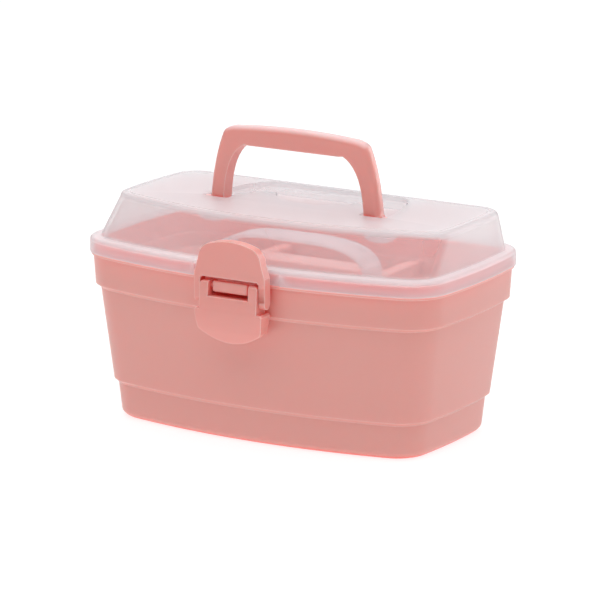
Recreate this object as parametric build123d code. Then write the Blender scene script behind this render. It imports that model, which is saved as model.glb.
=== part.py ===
from build123d import *
import math
import os

# Plan of the lid's skirt: the widest outline of the box.
skirt_half_length = 135.0
skirt_front = -75.3
skirt_back = 76.0
skirt_corner = 27.0
bow_radius = 445.0
end_radius = 400.0
dome_bow_radius = 340.0

# Heights
ledge_z = 90.0
lip_z = 109.0
skirt_low = 111.0
skirt_top = 121.0
rim_top = 117.5
dome_top = 147.0

# Thicknesses and gaps
wall = 2.2
floor = 2.5
seat_gap = 0.3
running_gap = 0.05

# Flat behind the latch, where the skirt steps in
notch_half_width = 32.5
notch_y = -73.4

# Hinge at the back
hinge_y = 81.0
hinge_z = 112.0
knuckle_radius = 4.0
pin_radius = 1.5
hinge_x = 72.0
lid_knuckle_half = 11.0
tub_knuckle_length = 9.0

# Carry handle
handle_pivot_z = 144.0
handle_depth = 10.4
handle_top = 197.0
handle_shoulder = (46.0, 194.9)
handle_turn = (51.2, 193.5)
handle_leg_high = (54.6, 190.6)
handle_leg_middle = (61.2, 170.0)
leg_out_low = 64.6
leg_in_low = 53.2
leg_in_middle = (48.8, 170.0)
leg_in_high = (37.5, 183.4)
stub_radius = 2.0
stub_end = 71.6

# Recess in the lid for the folded carry handle
recess_floor = 138.2
recess_front = -6.2
recess_back = 53.9
recess_turn = 42.0
recess_cross = 24.0
recess_back_half = 52.4
scoop_front = 4.8
scoop_radius = 34.5
recess_wall = 1.8
pocket_floor = 131.0

# Latch
lever_pivot = (-79.0, 107.8)
hasp_pivot = (-78.5, 99.5)
latch_pin_radius = 1.6
lug_half_width = 13.3
finger_in = 15.2
finger_out = 21.5
shoulder_half_width = 25.3
shoulder_z = 92.8
hasp_half_width = 26.5
hasp_leg_in = 22.0
hasp_front = -83.0
hasp_back = -80.4
window_z = 113.7
hook_tip = -73.8

# Tray
tray_floor_z = 62.0
tray_wall = 1.8
tray_top = 103.0
ridge_half_width = 10.0
ridge_top = 111.0
ridge_half_length = 52.0
low_ridge_top = 102.0
divider_x = 49.0
divider_half_width = 4.5

# Tray handle strap
strap_half_width = 11.0
strap_thickness = 2.4
strap_out = 58.2
strap_top = 126.8


def circle_meet(centre_a, radius_a, centre_b, radius_b):
    """Meeting point of two circles, the one further forward (lower y)."""
    dx = centre_b[0] - centre_a[0]
    dy = centre_b[1] - centre_a[1]
    apart = math.hypot(dx, dy)
    along = (apart**2 + radius_a**2 - radius_b**2) / (2 * apart)
    across = math.sqrt(radius_a**2 - along**2)
    foot = (centre_a[0] + along * dx / apart, centre_a[1] + along * dy / apart)
    first = (foot[0] + across * dy / apart, foot[1] - across * dx / apart)
    second = (foot[0] - across * dy / apart, foot[1] + across * dx / apart)
    return min(first, second, key=lambda point: point[1])


def beyond(centre, point, radius):
    """The point at a radius from a centre, in the direction of another point."""
    dx = point[0] - centre[0]
    dy = point[1] - centre[1]
    reach = math.hypot(dx, dy)
    return (centre[0] + dx * radius / reach, centre[1] + dy * radius / reach)


def outline(z, half_length, front, back, corner, bow=bow_radius):
    """Closed wire: bowed front, slightly bowed ends, straight back, round corners."""
    bow_centre = (0.0, front + bow)
    end_centre = (half_length - end_radius, (front + back) / 2)
    fore = circle_meet(bow_centre, bow - corner, end_centre, end_radius - corner)
    rise = back - corner - end_centre[1]
    aft = (end_centre[0] + math.sqrt((end_radius - corner) ** 2 - rise**2), back - corner)
    half = math.sqrt(0.5)
    right = [
        beyond(bow_centre, fore, bow),
        (fore[0] + corner * half, fore[1] - corner * half),
        beyond(end_centre, fore, end_radius),
        (half_length, end_centre[1]),
        beyond(end_centre, aft, end_radius),
        (aft[0] + corner * half, aft[1] + corner * half),
        (aft[0], back),
    ]
    left = [(-x, y) for x, y in right]
    p = [(x, y, z) for x, y in right]
    q = [(x, y, z) for x, y in left]
    edges = [
        Edge.make_three_point_arc(q[0], (0, front, z), p[0]),
        Edge.make_three_point_arc(p[0], p[1], p[2]),
        Edge.make_three_point_arc(p[2], p[3], p[4]),
        Edge.make_three_point_arc(p[4], p[5], p[6]),
        Edge.make_line(p[6], q[6]),
        Edge.make_three_point_arc(q[6], q[5], q[4]),
        Edge.make_three_point_arc(q[4], q[3], q[2]),
        Edge.make_three_point_arc(q[2], q[1], q[0]),
    ]
    return Wire(edges)


def stack(levels):
    """Solid through a list of outlines, lowest first."""
    return Part(Solid.make_loft([outline(*level) for level in levels], ruled=True).wrapped)


def inset(level, by, z):
    """The same outline moved in all round, at another height."""
    moved = [z, level[1] - by, level[2] + by, level[3] - by, level[4] - by * 0.5]
    return tuple(moved + list(level[5:]))


def block(x_low, x_high, y_low, y_high, z_low, z_high):
    """Box between two corners."""
    place = Pos((x_low + x_high) / 2, (y_low + y_high) / 2, (z_low + z_high) / 2)
    return place * Box(x_high - x_low, y_high - y_low, z_high - z_low)


def rod(x_low, x_high, y, z, radius):
    """Cylinder along X."""
    centre = Pos((x_low + x_high) / 2, y, z)
    return centre * Rot(0, 90, 0) * Cylinder(radius, x_high - x_low)


def both_sides(shape):
    """A shape and its mirror image across the middle of the box."""
    return shape + mirror(shape, about=Plane.YZ)


def slab(points, z_low, z_high, corner):
    """Upright prism on a polygon with rounded corners."""
    face = make_face(Polyline(*points, close=True))
    face = fillet(face.vertices(), corner)
    return Pos(0, 0, z_low) * extrude(face, z_high - z_low)


# Outer outlines of the tub: height, half length, front, back, corner radius.
foot_low = (0.0, 108.6, -53.8, 54.5, 20.0)
foot_turn = (1.4, 112.6, -57.0, 57.7, 21.0)
foot_side = (5.8, 116.0, -59.8, 60.5, 22.0)
foot_high = (23.4, 118.0, -61.5, 62.2, 23.0)
body_low = (26.0, 120.8, -63.8, 64.5, 24.0)
body_high = (87.4, 128.5, -70.0, 70.7, 26.0)
band_low = (89.8, 132.0, -72.3, 73.0, 26.5)
band_high = (lip_z, 133.0, -73.3, 74.0, 26.5)
lip_low = (lip_z + 0.2, 134.2, -74.5, 75.2, 26.8)
lip_high = (skirt_low - seat_gap, 134.2, -74.5, 75.2, 26.8)
rim_low = (skirt_low - seat_gap + 0.1, 132.4, -72.7, 73.4, 26.0)
rim_high = (rim_top, 132.4, -72.7, 73.4, 26.0)


def tub_shell():
    outer = stack([
        foot_low, foot_turn, foot_side, foot_high, body_low, body_high,
        band_low, band_high, lip_low, lip_high, rim_low, rim_high,
    ])
    hollow = stack([
        inset(foot_turn, wall, floor),
        inset(foot_side, wall, foot_side[0] + 1.0),
        inset(foot_high, wall, foot_high[0] + 1.4),
        inset(body_low, wall, body_low[0] + 1.4),
        inset(body_high, wall, ledge_z),
        inset(band_low, wall, ledge_z + seat_gap),
        inset(band_high, wall, lip_z),
        inset(rim_high, wall - 0.2, rim_top + 1.0),
    ])
    shell = outer - hollow
    step_out = notch_y + wall
    step_in = step_out + 1.6
    reach = notch_half_width + 3.0
    shell += block(-reach - 2, reach + 2, step_out, step_in, 106.0, rim_top)
    shell -= block(-reach, reach, -90.0, step_out, skirt_low - seat_gap, rim_top + 1)
    return shell


def tub():
    y, z = lever_pivot
    lug_radius = 3.75
    lug = rod(-lug_half_width, lug_half_width, y, z, lug_radius)
    lug += block(-lug_half_width, lug_half_width, y, -72.0, z - lug_radius, skirt_low - 0.6)
    lug -= rod(-lug_half_width - 1, lug_half_width + 1, y, z, latch_pin_radius + running_gap)
    box = tub_shell() + lug
    inner = lid_knuckle_half + seat_gap
    outer = inner + tub_knuckle_length
    for side in (-1, 1):
        for low, high in ((inner, outer), (-outer, -inner)):
            x_low = side * hinge_x + low
            x_high = side * hinge_x + high
            box += rod(x_low, x_high, hinge_y, hinge_z, knuckle_radius)
            web = block(x_low, x_high, 72.8, hinge_y, hinge_z - knuckle_radius, lip_high[0])
            rib = Pos((x_low + x_high) / 2, 0, 0) * gusset(x_high - x_low)
            box += web + rib
        span = outer + 1.0
        box -= rod(side * hinge_x - span, side * hinge_x + span, hinge_y, hinge_z, pin_radius)
    return box


def gusset(width):
    """Sloping rib below a tub knuckle."""
    low_y = band_low[3]
    points = [(low_y, 96.0), (low_y, 108.5), (hinge_y + 2.0, 108.6), (hinge_y, 108.0)]
    face = Plane.YZ * make_face(Polyline(*points, close=True))
    return Pos(-width / 2, 0, 0) * extrude(face, width, dir=(1, 0, 0))


def hinge_pin(side):
    half = lid_knuckle_half + seat_gap + tub_knuckle_length
    return rod(side * hinge_x - half, side * hinge_x + half, hinge_y, hinge_z, pin_radius)


# Outer outlines of the lid: height, half length, front, back, corner, bow radius.
skirt = (skirt_low, skirt_half_length, skirt_front, skirt_back, skirt_corner)
dome_low = (skirt_top + 0.2, 127.0, -67.3, 68.0, 21.0, bow_radius)
dome_side = (143.4, 121.5, -49.0, 60.0, 16.0, dome_bow_radius)
dome_turn = inset(dome_side, 1.1, 146.1)
dome_edge = inset(dome_side, 2.4, 146.8)
dome_flat = inset(dome_side, 4.2, dome_top)


def recess_legs(grow):
    """One channel of the recess for a leg of the carry handle."""
    points = [
        (49.5 - grow, recess_front - grow),
        (70.2 + grow, recess_front - grow),
        (66.4 + grow, 18.0),
        (59.8 + grow, recess_turn),
        (44.0, recess_turn),
        (42.5 - grow, recess_cross),
        (50.4 - grow, 5.0),
    ]
    return points


def recess(z_low, z_high, grow):
    """The U-shaped channel with its finger scoop, as a solid."""
    leg = slab(recess_legs(grow), z_low, z_high, 2.4)
    cross = slab([
        (-42.5, recess_cross - grow), (42.5, recess_cross - grow),
        (59.8 + grow, recess_turn), (recess_back_half + grow, recess_back + grow),
        (-recess_back_half - grow, recess_back + grow), (-59.8 - grow, recess_turn),
    ], z_low, z_high, 3.0)
    scoop_y = scoop_front + scoop_radius
    centre = Pos(0, scoop_y, (z_low + z_high) / 2)
    scoop = centre * Cylinder(scoop_radius + grow, z_high - z_low)
    scoop &= block(-30.0 - grow, 30.0 + grow, 0.0, scoop_y - 2.0, z_low, z_high)
    return both_sides(leg) + cross + scoop


def lid():
    outer = stack([
        skirt,
        inset(skirt, 0.0, 118.0),
        inset(skirt, 0.8, 119.6),
        inset(skirt, 2.0, 120.6),
        inset(skirt, 3.4, skirt_top),
        dome_low, dome_side, dome_turn, dome_edge, dome_flat,
    ])
    hollow = stack([
        inset(skirt, wall, skirt_low - 1.0),
        inset(skirt, wall, skirt_top - wall + 0.2),
        inset(dome_low, wall, skirt_top - wall + 0.4),
        inset(dome_side, wall, dome_side[0] - 1.4),
        inset(dome_turn, wall, dome_turn[0] - 2.0),
        inset(dome_flat, wall, dome_top - wall),
    ])
    cover = outer - hollow
    cover += recess(recess_floor - recess_wall, dome_top - 0.5, recess_wall)
    pocket = block(54.6, 72.4, -7.4, 7.4, pocket_floor - recess_wall, dome_top - 0.5)
    cover += both_sides(fillet(pocket.edges().group_by(Axis.Z)[0], 5.0))
    cover -= recess(recess_floor, dome_top + 1, 0.0)
    well = block(56.6, 69.0, -5.6, 5.6, pocket_floor, recess_floor + 3)
    cover -= both_sides(fillet(well.edges().group_by(Axis.Z)[0], 4.0))
    cover -= both_sides(rod(60.0, 74.0, 0.0, handle_pivot_z, stub_radius + running_gap))
    inside = notch_y + 1.8
    cover += block(-notch_half_width - 1, notch_half_width + 1, -74.0, inside, skirt_low, 120.0)
    notch = block(-notch_half_width, notch_half_width, -90.0, notch_y, 100.0, 130.0)
    cover -= notch
    for side in (-1, 1):
        low = side * hinge_x - lid_knuckle_half
        high = side * hinge_x + lid_knuckle_half
        cover += rod(low, high, hinge_y, hinge_z, knuckle_radius)
        cover += block(low, high, skirt_back - 1.0, hinge_y, hinge_z, hinge_z + knuckle_radius)
        cover -= rod(low - 1, high + 1, hinge_y, hinge_z, pin_radius + running_gap)
    return cover


def carry_handle():
    """Arched handle in the XZ plane with a stub on each leg."""
    base = handle_pivot_z
    left = [(-x, z) for x, z in (handle_leg_middle, handle_leg_high, handle_turn, handle_shoulder)]
    outer = make_face([
        ThreePointArc((-leg_out_low, base), left[0], left[1]),
        ThreePointArc(left[1], left[2], left[3]),
        ThreePointArc(left[3], (0, handle_top), handle_shoulder),
        ThreePointArc(handle_shoulder, handle_turn, handle_leg_high),
        ThreePointArc(handle_leg_high, handle_leg_middle, (leg_out_low, base)),
        Line((leg_out_low, base), (-leg_out_low, base)),
    ])
    middle, high = [(-x, z) for x, z in (leg_in_middle, leg_in_high)]
    opening = make_face([
        ThreePointArc((-leg_in_low, base - 1), middle, high),
        Line(high, leg_in_high),
        ThreePointArc(leg_in_high, leg_in_middle, (leg_in_low, base - 1)),
        Line((leg_in_low, base - 1), (-leg_in_low, base - 1)),
    ])
    bar = extrude(Plane.XZ * (outer - opening), handle_depth / 2, both=True)
    knees = rod(leg_in_low, leg_out_low, 0, handle_pivot_z, handle_depth / 2)
    knees += rod(leg_out_low - 1, 67.4, 0, handle_pivot_z, 2.7)
    knees += rod(leg_out_low - 1, stub_end, 0, handle_pivot_z, stub_radius)
    return bar + both_sides(knees)


def latch_lever():
    """Shield-shaped lever with two fingers that hold its hinge pins."""
    y, z = lever_pivot
    front = make_face([
        Line((-finger_out, 108.0), (-finger_out, shoulder_z)),
        Line((-finger_out, shoulder_z), (-shoulder_half_width, shoulder_z)),
        Line((-shoulder_half_width, shoulder_z), (-23.4, 79.4)),
        ThreePointArc((-23.4, 79.4), (0, 71.0), (23.4, 79.4)),
        Line((23.4, 79.4), (shoulder_half_width, shoulder_z)),
        Line((shoulder_half_width, shoulder_z), (finger_out, shoulder_z)),
        Line((finger_out, shoulder_z), (finger_out, 108.0)),
        Line((finger_out, 108.0), (-finger_out, 108.0)),
    ])
    plate = Pos(0, -70.0, 0) * extrude(Plane.XZ * front, 20.0)
    side = make_face([
        Line((-84.6, 109.6), (-85.4, 92.0)),
        Line((-85.4, 92.0), (-80.5, 70.0)),
        Line((-80.5, 70.0), (-77.6, 70.0)),
        Line((-77.6, 70.0), (-74.3, 92.0)),
        Line((-74.3, 92.0), (-75.6, 104.0)),
        Line((-75.6, 104.0), (-75.6, 107.8)),
        ThreePointArc((-75.6, 107.8), (-76.5, 110.2), (-78.9, 111.2)),
        Line((-78.9, 111.2), (-82.6, 111.2)),
        Line((-82.6, 111.2), (-84.6, 109.6)),
    ])
    width = shoulder_half_width + 2
    body = Pos(-width, 0, 0) * extrude(Plane.YZ * side, 2 * width, dir=(1, 0, 0))
    tall = block(-finger_out, finger_out, -90, -70, 107.0, 112.0)
    lever = body & (plate + tall)
    slot = block(-finger_in, finger_in, -90.0, -70.0, 101.4, 115.0)
    lever -= slot
    for side_sign in (-1, 1):
        ends = sorted([side_sign * (finger_in + 1), side_sign * 9.0])
        lever += rod(ends[0], ends[1], y, z, latch_pin_radius)
        hole = sorted([side_sign * (finger_in + 0.6), side_sign * (finger_out + 1)])
        lever -= rod(hole[0], hole[1], hasp_pivot[0], hasp_pivot[1], latch_pin_radius + running_gap)
    return lever


def latch_hasp():
    """Arched plate with two legs, hung on the lever, and a hook behind."""
    y, z = hasp_pivot
    front = make_face([
        Line((-hasp_half_width, 95.0), (-hasp_half_width, 117.0)),
        Line((-hasp_half_width, 117.0), (-23.8, 124.5)),
        ThreePointArc((-23.8, 124.5), (-22.4, 130.6), (-17.0, 135.2)),
        ThreePointArc((-17.0, 135.2), (0, 138.0), (17.0, 135.2)),
        ThreePointArc((17.0, 135.2), (22.4, 130.6), (23.8, 124.5)),
        Line((23.8, 124.5), (hasp_half_width, 117.0)),
        Line((hasp_half_width, 117.0), (hasp_half_width, 95.0)),
        Line((hasp_half_width, 95.0), (-hasp_half_width, 95.0)),
    ])
    plate = Pos(0, hasp_back, 0) * extrude(Plane.XZ * front, hasp_back - hasp_front)
    leg_back = y + 1.8
    legs = block(hasp_leg_in, hasp_half_width, hasp_back - 1, leg_back, z, 117.0)
    knuckle = rod(hasp_leg_in, hasp_half_width, y - 0.6, z, 3.5)
    knuckle &= block(hasp_leg_in, hasp_half_width, hasp_front, leg_back, 90.0, 110.0)
    toe = block(hasp_leg_in, hasp_half_width, hasp_front, leg_back, z - 1.0, z + 3.0)
    hook = block(-18.0, 18.0, hasp_back - 1, hook_tip, skirt_top + 0.6, skirt_top + 4.0)
    window = block(-hasp_leg_in, hasp_leg_in, -90.0, -70.0, 90.0, window_z)
    base = block(-30.0, 30.0, -90.0, -70.0, 90.0, z)
    hasp = plate - window - base
    hasp += both_sides(legs + knuckle + toe) + hook
    for sign in (-1, 1):
        ends = sorted([sign * (finger_in + 1.0), sign * (hasp_leg_in + 1)])
        hasp += rod(ends[0], ends[1], y, z, latch_pin_radius)
    return hasp


# Outer outlines of the tray
tray_low = (tray_floor_z, 121.4, -63.4, 64.2, 22.0)
tray_body = (ledge_z - seat_gap, 125.2, -66.8, 67.6, 24.0)
tray_step = (ledge_z + 2 * seat_gap, 125.4, -67.0, 67.8, 24.0)
tray_shelf = (ledge_z + 3 * seat_gap, 128.8, -68.8, 70.0, 24.5)
tray_rim = (tray_top, 129.2, -68.8, 70.4, 24.5)


def tray():
    outer = stack([tray_low, tray_body, tray_step, tray_shelf, tray_rim])
    hollow = stack([
        inset(tray_low, tray_wall, tray_floor_z + tray_wall),
        inset(tray_body, tray_wall, ledge_z + tray_wall),
        inset(tray_shelf, tray_wall, ledge_z + tray_wall + 0.6),
        inset(tray_rim, tray_wall, tray_top + 1.0),
    ])
    low = tray_floor_z + 0.5
    ridge = block(-127.0, 127.0, -ridge_half_width, ridge_half_width, low, low_ridge_top)
    raised = ridge_half_length
    ridge += block(-raised, raised, -ridge_half_width, ridge_half_width, 90.0, ridge_top)
    side = divider_half_width
    bars = block(divider_x - side, divider_x + side, 0, 69.0, low, low_ridge_top)
    ribs = both_sides(bars) + ridge
    ribs &= outer + block(-raised, raised, -ridge_half_width, ridge_half_width, 90.0, 115.0)
    body = (outer - hollow) + ribs
    thin = ridge_half_width - tray_wall
    below = tray_floor_z - 1.0
    body -= block(-116.0, 116.0, -thin, thin, below, low_ridge_top - tray_wall)
    body -= block(-raised + tray_wall, raised - tray_wall, -thin, thin, below, ridge_top - tray_wall)
    groove = divider_half_width - tray_wall
    x_low = divider_x - groove
    x_high = divider_x + groove
    body -= both_sides(block(x_low, x_high, ridge_half_width, 61.0, below, low_ridge_top - tray_wall))
    return body


def tray_handle():
    """Wide strap bent over the ridge, standing on the low ridge at its ends."""
    inner = strap_out - strap_thickness
    half = strap_half_width
    low = low_ridge_top
    bend = 104.0
    drop = strap_thickness
    side = 33.0
    side_z = 124.4
    profile = make_face([
        Line((-strap_out, low), (-strap_out, bend)),
        ThreePointArc((-strap_out, bend), (-51.2, 117.4), (-side, side_z)),
        ThreePointArc((-side, side_z), (0, strap_top), (side, side_z)),
        ThreePointArc((side, side_z), (51.2, 117.4), (strap_out, bend)),
        Line((strap_out, bend), (strap_out, low)),
        Line((strap_out, low), (inner, low)),
        Line((inner, low), (inner, bend)),
        ThreePointArc((inner, bend), (49.5, 115.8), (side - 0.7, side_z - drop)),
        ThreePointArc((side - 0.7, side_z - drop), (0, strap_top - drop), (0.7 - side, side_z - drop)),
        ThreePointArc((0.7 - side, side_z - drop), (-49.5, 115.8), (-inner, bend)),
        Line((-inner, bend), (-inner, low)),
        Line((-inner, low), (-strap_out, low)),
    ])
    return Pos(0, half, 0) * extrude(Plane.XZ * profile, 2 * half)


parts = {
    "tub": tub(),
    "hinge_pin_left": hinge_pin(-1),
    "hinge_pin_right": hinge_pin(1),
    "lid": lid(),
    "carry_handle": carry_handle(),
    "latch_lever": latch_lever(),
    "latch_hasp": latch_hasp(),
    "tray": tray(),
    "tray_handle": tray_handle(),
}

os.makedirs("parts", exist_ok=True)
for name, shape in parts.items():
    export_step(shape, f"parts/{name}.step")
    print(name, round(shape.volume, 1), shape.is_valid)
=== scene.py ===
import bpy
import bmesh
import math
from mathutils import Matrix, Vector


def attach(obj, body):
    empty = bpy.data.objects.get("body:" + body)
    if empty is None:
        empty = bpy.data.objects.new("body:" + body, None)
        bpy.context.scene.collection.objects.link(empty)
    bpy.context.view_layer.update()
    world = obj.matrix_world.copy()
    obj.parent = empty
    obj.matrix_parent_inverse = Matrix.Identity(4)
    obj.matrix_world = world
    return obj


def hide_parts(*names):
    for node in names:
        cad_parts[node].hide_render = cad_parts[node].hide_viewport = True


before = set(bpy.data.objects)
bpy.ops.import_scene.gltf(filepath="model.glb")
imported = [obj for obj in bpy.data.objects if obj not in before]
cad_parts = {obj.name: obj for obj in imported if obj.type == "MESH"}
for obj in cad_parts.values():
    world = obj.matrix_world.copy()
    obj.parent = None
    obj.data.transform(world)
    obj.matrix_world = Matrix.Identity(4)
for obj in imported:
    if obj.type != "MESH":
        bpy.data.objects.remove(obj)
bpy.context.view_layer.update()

mm = 0.001


# small tools for modelling

def clearSelection():
    if bpy.context.object and bpy.context.object.mode != "OBJECT":
        bpy.ops.object.mode_set(mode="OBJECT")
    bpy.ops.object.select_all(action="DESELECT")


def pick(piece):
    # make one object the selected and active one
    clearSelection()
    piece.select_set(True)
    bpy.context.view_layer.objects.active = piece
    return piece


def named(name):
    piece = bpy.context.object
    piece.name = name
    piece.data.name = name
    return piece


def freeze(piece):
    # put place, turn and scale into the mesh
    pick(piece)
    bpy.ops.object.transform_apply(location=True, rotation=True, scale=True)
    return piece


def addBlock(name, low, high):
    clearSelection()
    centre = [(low[i] + high[i]) / 2 * mm for i in range(3)]
    size = [(high[i] - low[i]) * mm for i in range(3)]
    bpy.ops.mesh.primitive_cube_add(size=1, location=centre, scale=size)
    return freeze(named(name))


def addRod(name, xLow, xHigh, y, z, radius, sides=48):
    # round bar along X
    clearSelection()
    bpy.ops.mesh.primitive_cylinder_add(
        vertices=sides, radius=radius * mm, depth=(xHigh - xLow) * mm,
        location=((xLow + xHigh) / 2 * mm, y * mm, z * mm), rotation=(0, math.pi / 2, 0))
    return freeze(named(name))


def finishWith(piece, kind, **settings):
    # add a modifier, set it and apply it
    pick(piece)
    modifier = piece.modifiers.new(kind.title(), kind)
    for key, value in settings.items():
        setattr(modifier, key, value)
    bpy.ops.object.modifier_apply(modifier=modifier.name)
    return piece


def combine(piece, other, how):
    finishWith(piece, "BOOLEAN", object=other, operation=how, solver="EXACT")
    bpy.data.objects.remove(other, do_unlink=True)
    return piece


def roundEdges(piece, width, segments=3, angle=28):
    return finishWith(piece, "BEVEL", width=width * mm, segments=segments, limit_method="ANGLE",
                      angle_limit=math.radians(angle), use_clamp_overlap=True, miter_outer="MITER_ARC")


def tidyMesh(piece, smoothAngle=32, merge=0.004):
    pick(piece)
    bpy.ops.object.mode_set(mode="EDIT")
    bpy.ops.mesh.select_all(action="SELECT")
    bpy.ops.mesh.remove_doubles(threshold=merge * mm)
    bpy.ops.mesh.normals_make_consistent(inside=False)
    bpy.ops.object.mode_set(mode="OBJECT")
    bpy.ops.object.shade_smooth_by_angle(angle=math.radians(smoothAngle))
    return piece


# the box's outline: bowed front, straight back, round corners

plan = {"bow": 445.0, "end": 400.0,
        "front steps": 44, "corner steps": 14, "end steps": 14, "back steps": 24}


def meetOf(centreA, radiusA, centreB, radiusB):
    # where two circles meet, the front one
    dx = centreB[0] - centreA[0]
    dy = centreB[1] - centreA[1]
    apart = math.hypot(dx, dy)
    along = (apart ** 2 + radiusA ** 2 - radiusB ** 2) / (2 * apart)
    across = math.sqrt(radiusA ** 2 - along ** 2)
    x = centreA[0] + (along * dx - across * dy) / apart
    y = centreA[1] + (along * dy + across * dx) / apart
    return x, y


def arcPoints(centre, radius, start, end, steps):
    # points of an arc, without its last one
    points = []
    for i in range(steps):
        angle = start + (end - start) * i / steps
        points.append((centre[0] + radius * math.cos(angle), centre[1] + radius * math.sin(angle)))
    return points


def outlinePoints(halfLength, front, back, corner, bow=None):
    bow = bow or plan["bow"]
    end = plan["end"]
    bowCentre = (0.0, front + bow)
    endCentre = (halfLength - end, (front + back) / 2)
    foreX, foreY = meetOf(bowCentre, bow - corner, endCentre, end - corner)
    aftY = back - corner
    aftX = endCentre[0] + math.sqrt((end - corner) ** 2 - (aftY - endCentre[1]) ** 2)
    foreTurn = math.atan2(foreY - bowCentre[1], foreX - bowCentre[0])
    foreEnd = math.atan2(foreY - endCentre[1], foreX - endCentre[0])
    aftEnd = math.atan2(aftY - endCentre[1], aftX - endCentre[0])
    half = arcPoints(bowCentre, bow, -math.pi / 2, foreTurn, plan["front steps"] // 2)
    half += arcPoints((foreX, foreY), corner, foreTurn, foreEnd, plan["corner steps"])
    half += arcPoints(endCentre, end, foreEnd, aftEnd, plan["end steps"])
    half += arcPoints((aftX, aftY), corner, aftEnd, math.pi / 2, plan["corner steps"])
    backSteps = plan["back steps"] // 2
    half += [(aftX * (1 - i / backSteps), back) for i in range(backSteps)]
    half.append((0.0, back))
    mirrored = [(-x, y) for x, y in half[1:-1]]
    return half + mirrored[::-1]


def placeRing(mesh, ring, level):
    points = outlinePoints(*level[1:])
    for index, (x, y) in zip(ring, points):
        mesh.verts[index].co = Vector((x * mm, y * mm, level[0] * mm))


def ringShell(name, levels, lowCap=False, highCap=False):
    # a circle laid on the first outline, then extruded edge by edge up the others
    clearSelection()
    count = len(outlinePoints(*levels[0][1:]))
    bpy.ops.mesh.primitive_circle_add(vertices=count, radius=0.1, fill_type="NOTHING")
    piece = named(name)
    bpy.ops.object.mode_set(mode="EDIT")
    bpy.ops.mesh.select_mode(type="EDGE")
    mesh = bmesh.from_edit_mesh(piece.data)
    mesh.verts.ensure_lookup_table()
    ring = list(range(count))
    placeRing(mesh, ring, levels[0])
    for edge in mesh.edges:
        edge.select = True
    if lowCap:
        bpy.ops.mesh.edge_face_add()
        mesh = bmesh.from_edit_mesh(piece.data)
        mesh.faces.ensure_lookup_table()
        mesh.verts.ensure_lookup_table()
    for level in levels[1:]:
        mesh = bmesh.from_edit_mesh(piece.data)
        mesh.verts.ensure_lookup_table()
        wanted = set(ring)
        bpy.ops.mesh.select_all(action="DESELECT")
        for edge in mesh.edges:
            ends = {edge.verts[0].index, edge.verts[1].index}
            if ends <= wanted and abs(edge.verts[0].index - edge.verts[1].index) in (1, count - 1):
                edge.select = True
        bmesh.update_edit_mesh(piece.data)
        bpy.ops.mesh.extrude_edges_move()
        mesh = bmesh.from_edit_mesh(piece.data)
        mesh.verts.ensure_lookup_table()
        fresh = []
        for index in ring:
            for edge in mesh.verts[index].link_edges:
                other = edge.other_vert(mesh.verts[index])
                if other.select and other.index not in wanted:
                    fresh.append(other.index)
        order = {old: new for old, new in zip(ring, fresh)}
        ring = [order[old] for old in ring]
        placeRing(mesh, ring, level)
        bmesh.update_edit_mesh(piece.data)
    if highCap:
        bpy.ops.mesh.edge_face_add()
    bpy.ops.mesh.select_all(action="SELECT")
    bpy.ops.mesh.normals_make_consistent(inside=False)
    bpy.ops.object.mode_set(mode="OBJECT")
    return piece


def inset(level, by, z):
    return (z, level[1] - by, level[2] + by, level[3] - by, level[4] - by * 0.5) + tuple(level[5:])


# tub

tubSizes = {
    "foot": (5.8, 116.0, -59.8, 60.5, 22.0), "foot round": 6.6, "foot steps": 7,
    "foot top": (23.4, 118.0, -61.5, 62.2, 23.0),
    "body low": (25.6, 120.7, -63.7, 64.4, 24.0),
    "body top": (87.4, 128.5, -70.0, 70.7, 26.0),
    "band low": (89.6, 131.9, -72.2, 72.9, 26.5),
    "band top": (109.0, 133.0, -73.3, 74.0, 26.5),
    "lip": 1.2, "lip top": 110.7, "rim": (117.5, 132.4, -72.7, 73.4, 26.0),
    "wall": 2.2, "edge": 0.7, "hinge": (81.0, 112.0), "knuckle": 3.99, "hinge x": 72.0,
    "lid half": 11.0, "side gap": 0.3, "tub knuckle": 9.0, "pin": 1.5,
    # outline, how far past the wall, height
    "inside": [("band low", 0.0, 90.6), ("body top", 0.0, 90.2), ("body low", 0.0, 27.2),
               ("foot top", 0.0, 25.0), ("foot", 0.0, 8.0), ("foot", 1.0, 4.6), ("foot", 3.6, 2.6)],
    "lever pivot": (-79.0, 107.8), "lug half": 13.3, "lug radius": 3.75, "lug round": 1.5,
    "lug root": (-72.4, 110.4), "lug root edge": 0.4,
    "rim notch": 36.0, "notch outer": -71.2, "notch inner": -69.6,
    "web back": 73.0, "rib low": (72.0, 96.0), "rib out": 2.4, "rib top": 108.4, "rib foot": 75.0,
    "pin edge": 0.35,
}


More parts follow.
